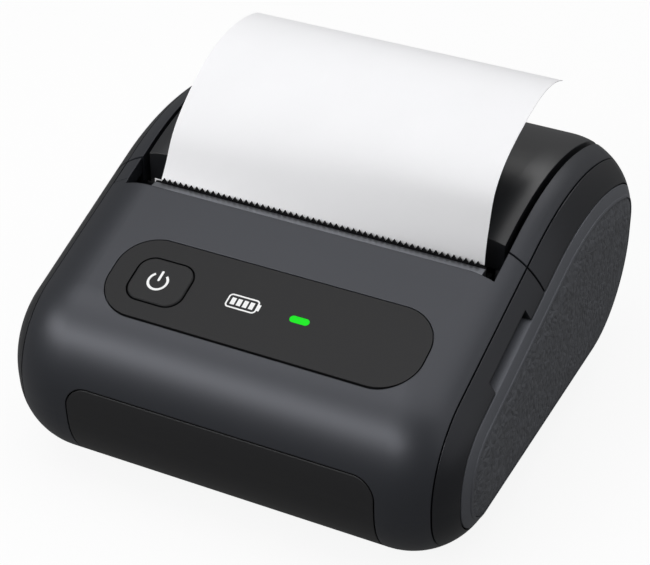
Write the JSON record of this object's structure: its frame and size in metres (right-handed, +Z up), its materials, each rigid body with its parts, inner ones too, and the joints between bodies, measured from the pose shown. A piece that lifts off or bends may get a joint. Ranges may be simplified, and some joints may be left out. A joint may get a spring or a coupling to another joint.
{
  "type": "portable receipt printer",
  "caption": "Pocket thermal receipt printer with a rear-hinged paper cover, sloping key panel, tear bar, geared platen and battery door.",
  "frame": {"origin": "on the table under the middle of the case", "axes": "+X to the right seen from the front, +Y to the back, +Z up"},
  "size_m": [0.1128, 0.117, 0.0806],
  "materials": {
    "case_plastic": "fine satin",
    "inlay_grain": "leather-grain texture",
    "panel_plastic": "smooth satin",
    "key_plastic": "smooth satin",
    "light_lens": "clear green",
    "light_source": "clear",
    "board": "solder mask",
    "black_plastic": "matte",
    "steel": "plain",
    "contact_brass": "plated",
    "bar_metal": "satin",
    "blade_steel": "black",
    "head_ceramic": "fired",
    "platen_rubber": "ground",
    "feet_rubber": "matte",
    "gear_plastic": "moulded",
    "paper": "smooth",
    "core_card": "plain"
  },
  "bodies": {
    "case": {"base_case": "case_plastic", "top_shell": "case_plastic", "rear_shell": "case_plastic", "band_front_left": "case_plastic", "band_front_right": "case_plastic", "band_rear_left": "case_plastic", "band_rear_right": "case_plastic", "side_panel_left": "case_plastic", "side_panel_right": "case_plastic", "side_inlay_left": "inlay_grain", "side_inlay_right": "inlay_grain", "control_panel": "panel_plastic", "light_lens": "light_lens", "key_board": "board", "power_switch": "black_plastic", "light_source": "light_source", "battery_pack": "black_plastic", "battery_contacts": "contact_brass", "main_board": "board", "processor_chip": "black_plastic", "usb_socket": "steel", "mech_frame": "steel", "tear_bar": "bar_metal", "tear_blade": "blade_steel", "print_head": "head_ceramic", "heat_sink": "bar_metal", "head_springs": "steel", "paper_sensor": "black_plastic", "drive_motor": "steel", "paper_bin": "black_plastic", "paper_web": "paper", "hinge_pin": "steel", "rubber_feet": "feet_rubber", "case_screws": "steel"},
    "power_button": {"power_button": "key_plastic"},
    "cover_release": {"cover_release": "case_plastic"},
    "battery_door": {"battery_door": "case_plastic"},
    "cover": {"paper_cover": "case_plastic", "cover_liner": "black_plastic", "platen_bushes": "black_plastic"},
    "platen": {"platen_rubber": "platen_rubber", "platen_shaft": "steel", "platen_gear": "gear_plastic"},
    "idler": {"idler_gear": "gear_plastic"},
    "pinion": {"motor_pinion": "gear_plastic"},
    "roll": {"paper_roll": "paper", "roll_core": "core_card"},
    "receipt": {"receipt": "paper"}
  },
  "joints": [
    {"name": "cover_hinge", "type": "hinge", "parent": "case", "child": "cover", "pos_m": [0, 0.05389, 0.02712], "axis": [-1, 0, 0], "range_deg": [0, 90]},
    {"name": "receipt_tilt", "type": "hinge", "parent": "case", "child": "receipt", "pos_m": [0, -0.0115, 0.0553], "axis": [1, 0, 0], "range_deg": [0, 90]},
    {"name": "roll_spin", "type": "hinge", "parent": "case", "child": "roll", "pos_m": [0, 0.0225, 0.0341], "axis": [1, 0, 0], "continuous": true},
    {"name": "platen_spin", "type": "hinge", "parent": "cover", "child": "platen", "pos_m": [0, -0.00535, 0.0436], "axis": [1, 0, 0], "continuous": true},
    {"name": "idler_spin", "type": "hinge", "parent": "case", "child": "idler", "pos_m": [-0.0441, -0.00858, 0.03199], "axis": [1, 0, 0], "continuous": true},
    {"name": "pinion_spin", "type": "hinge", "parent": "case", "child": "pinion", "pos_m": [-0.0441, -0.01569, 0.02488], "axis": [1, 0, 0], "continuous": true},
    {"name": "power_press", "type": "slide", "parent": "case", "child": "power_button", "axis": [0, 0.3256, -0.9455], "range_m": [0, 0.0005], "stiffness_N_per_m": 400},
    {"name": "release_press", "type": "slide", "parent": "case", "child": "cover_release", "axis": [0, 0, -1], "range_m": [0, 0.0012], "stiffness_N_per_m": 400},
    {"name": "door_slide", "type": "slide", "parent": "case", "child": "battery_door", "axis": [0, -1, 0], "range_m": [0, 0.008]}
  ],
  "couplings": [
    {"joint": "receipt_tilt", "follows": "cover_hinge", "ratio": 1},
    {"joint": "platen_spin", "follows": "roll_spin", "ratio": 4.1923},
    {"joint": "idler_spin", "follows": "roll_spin", "ratio": -2.9945},
    {"joint": "pinion_spin", "follows": "roll_spin", "ratio": 6.9872}
  ]
}
